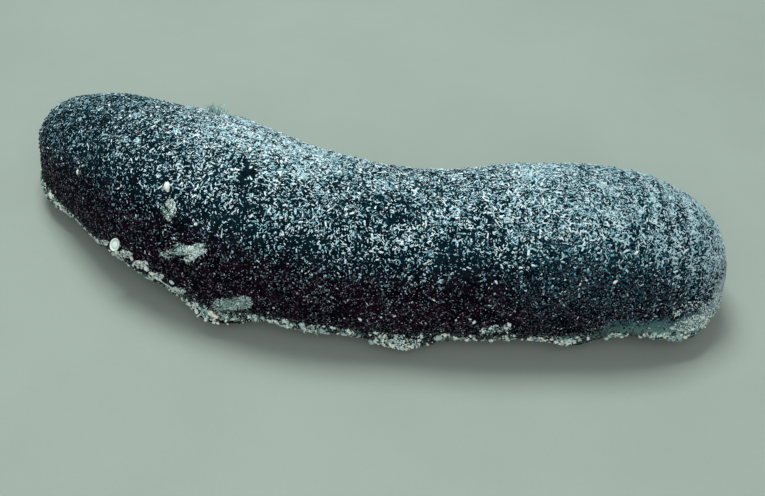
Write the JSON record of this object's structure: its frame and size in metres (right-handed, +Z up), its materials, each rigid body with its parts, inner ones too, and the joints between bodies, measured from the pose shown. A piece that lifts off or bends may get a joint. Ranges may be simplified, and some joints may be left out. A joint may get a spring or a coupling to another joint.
{
  "type": "sea cucumber",
  "caption": "Stout black sea cucumber under a coat of sand, gently bent, on a flat sole of tube feet, with blunt side teats, mouth tentacles turned down and a toothed vent.",
  "frame": {"origin": "on the surface that the animal rests on, under the middle of its bounding box", "axes": "+X towards the front end, where the mouth is turned down; +Y to its left; +Z up"},
  "size_m": [0.358, 0.1702, 0.0797],
  "materials": {
    "skin": "matt blue-black skin under a pale coat of coral sand",
    "sole_skin": "matt grey-brown skin with tube feet",
    "tentacle_skin": "damp dark brown-black",
    "vent_skin": "damp dark grey with pale teeth"
  },
  "bodies": {
    "root": {"rear_end": "skin", "rear_trunk": "skin", "mid_trunk": "skin", "front_trunk": "skin", "front_end": "skin", "sole_rear": "sole_skin", "sole_middle": "sole_skin", "sole_front": "sole_skin", "mouth_tentacles": "tentacle_skin", "anus": "vent_skin"}
  },
  "joints": []
}
